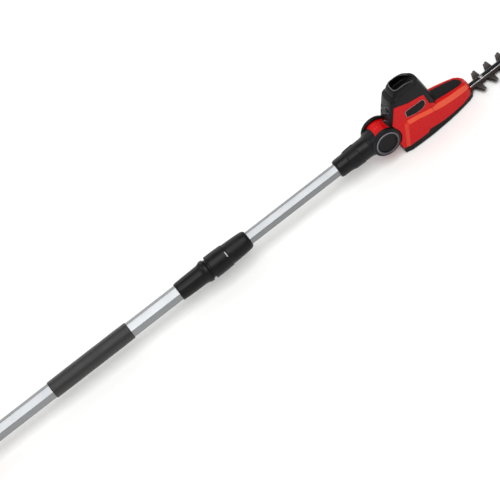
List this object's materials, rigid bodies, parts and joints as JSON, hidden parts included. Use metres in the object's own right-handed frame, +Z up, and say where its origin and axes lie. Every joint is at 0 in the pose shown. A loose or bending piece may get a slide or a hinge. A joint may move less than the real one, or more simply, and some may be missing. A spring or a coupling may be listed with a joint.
{
  "type": "telescopic pole hedge trimmer",
  "caption": "Cordless hedge trimmer on a telescopic hexagonal pole: tilting red motor head, double-sided reciprocating blade, foam grip, rear trigger handle with slide-off battery.",
  "frame": {"origin": "middle of the object's box, on the surface that it lies on", "axes": "+X forward along the pole towards the blade, +Y to the tool's left, +Z up, with the motor housing upwards"},
  "size_m": [2.016, 0.074, 0.1465],
  "materials": {
    "red_plastic": "glossy moulded",
    "black_plastic": "satin moulded, finely textured",
    "soft_black": "soft-touch",
    "foam": "closed-cell foam, satin",
    "tube_aluminium": "satin anodised",
    "steel": "bright machined",
    "blade_steel": "dark hardened, oiled",
    "badge_black": "gloss with a silver rim",
    "cell_jacket": "shrink-wrapped cell"
  },
  "bodies": {
    "pole": {"outer_tube": "tube_aluminium", "foam_grip": "foam", "clamp_collar": "black_plastic", "collet_ring": "black_plastic", "handle_right": "red_plastic", "handle_left": "red_plastic", "trigger_pin": "steel", "trigger_spring": "steel", "trigger_switch": "black_plastic", "battery_dock": "black_plastic", "handle_lead": "soft_black"},
    "lock_sleeve": {"twist_sleeve": "black_plastic"},
    "upper_pole": {"inner_tube": "tube_aluminium", "slide_bush": "black_plastic", "coiled_lead": "soft_black", "neck_lead": "soft_black", "fork_right": "black_plastic", "fork_left": "black_plastic", "button_spring_right": "steel", "button_spring_left": "steel"},
    "tilt_button_right": {"lock_button_right": "black_plastic"},
    "tilt_button_left": {"lock_button_left": "black_plastic"},
    "head": {"housing_right": "red_plastic", "housing_left": "red_plastic", "motor_cap": "black_plastic", "top_inlay": "soft_black", "badge_right": "badge_black", "badge_left": "badge_black", "skid_plate": "black_plastic", "ratchet_right": "steel", "ratchet_left": "steel", "head_lead": "soft_black", "motor_can": "steel", "motor_endcap": "black_plastic", "motor_plate": "tube_aluminium", "gear_case": "tube_aluminium", "bearing_upper": "steel", "bearing_lower": "steel", "guide_bar": "steel", "blade_rivet_1": "steel", "blade_rivet_2": "steel", "blade_rivet_3": "steel", "blade_rivet_4": "steel", "blade_rivet_5": "steel"},
    "motor_shaft": {"motor_pinion": "steel"},
    "crank": {"drive_gear": "steel", "crank_shaft": "steel"},
    "blade_top": {"upper_blade": "blade_steel"},
    "blade_bottom": {"lower_blade": "blade_steel"},
    "trigger": {"trigger": "black_plastic"},
    "lock_off": {"lock_off_button": "black_plastic"},
    "battery": {"battery_front_case": "black_plastic", "battery_rear_case": "black_plastic", "cell_1": "cell_jacket", "cell_2": "cell_jacket", "cell_3": "cell_jacket", "cell_4": "cell_jacket", "cell_5": "cell_jacket"},
    "battery_release": {"battery_button": "red_plastic"}
  },
  "joints": [
    {"name": "telescope", "type": "slide", "parent": "pole", "child": "upper_pole", "axis": [1, 0, 0], "range_m": [-0.19, 0.335], "deforming": ["coiled_lead"]},
    {"name": "sleeve_twist", "type": "hinge", "parent": "pole", "child": "lock_sleeve", "pos_m": [-0.022, 0, 0.056], "axis": [1, 0, 0], "range_deg": [0, 90]},
    {"name": "head_tilt", "type": "hinge", "parent": "upper_pole", "child": "head", "pos_m": [0.358, 0, 0.056], "axis": [0, 1, 0], "range_deg": [-15, 75]},
    {"name": "tilt_button_right_push", "type": "slide", "parent": "upper_pole", "child": "tilt_button_right", "axis": [0, 1, 0], "range_m": [0, 0.004], "stiffness_N_per_m": 600, "springref_m": -0.004, "deforming": ["button_spring_right"]},
    {"name": "tilt_button_left_push", "type": "slide", "parent": "upper_pole", "child": "tilt_button_left", "axis": [0, -1, 0], "range_m": [0, 0.004], "stiffness_N_per_m": 600, "springref_m": -0.004, "deforming": ["button_spring_left"]},
    {"name": "gear_spin", "type": "hinge", "parent": "head", "child": "crank", "pos_m": [0.469, 0, 0.043], "axis": [0, 0, 1], "continuous": true},
    {"name": "motor_spin", "type": "hinge", "parent": "head", "child": "motor_shaft", "pos_m": [0.442, 0, 0.043], "axis": [0, 0, 1], "continuous": true},
    {"name": "upper_blade_stroke", "type": "slide", "parent": "head", "child": "blade_top", "axis": [1, 0, 0], "range_m": [-0.004, 0.004]},
    {"name": "lower_blade_stroke", "type": "slide", "parent": "head", "child": "blade_bottom", "axis": [1, 0, 0], "range_m": [-0.004, 0.004]},
    {"name": "trigger_pull", "type": "hinge", "parent": "pole", "child": "trigger", "pos_m": [-0.748, 0, 0.055], "axis": [0, 1, 0], "range_deg": [0, 7], "stiffness_Nm_per_rad": 1.2, "springref_deg": -8.59, "deforming": ["trigger_spring"]},
    {"name": "lock_off_press", "type": "slide", "parent": "pole", "child": "lock_off", "axis": [0, 0, -1], "range_m": [0, 0.004], "stiffness_N_per_m": 500, "springref_m": -0.003},
    {"name": "battery_slide", "type": "slide", "parent": "pole", "child": "battery", "axis": [0, 0, 1], "range_m": [0, 0.09]},
    {"name": "battery_release_press", "type": "slide", "parent": "battery", "child": "battery_release", "axis": [0, 0, -1], "range_m": [0, 0.004], "stiffness_N_per_m": 500, "springref_m": -0.003}
  ],
  "couplings": [
    {"joint": "motor_spin", "follows": "gear_spin", "ratio": -5},
    {"joint": "lower_blade_stroke", "follows": "upper_blade_stroke", "ratio": -1}
  ]
}
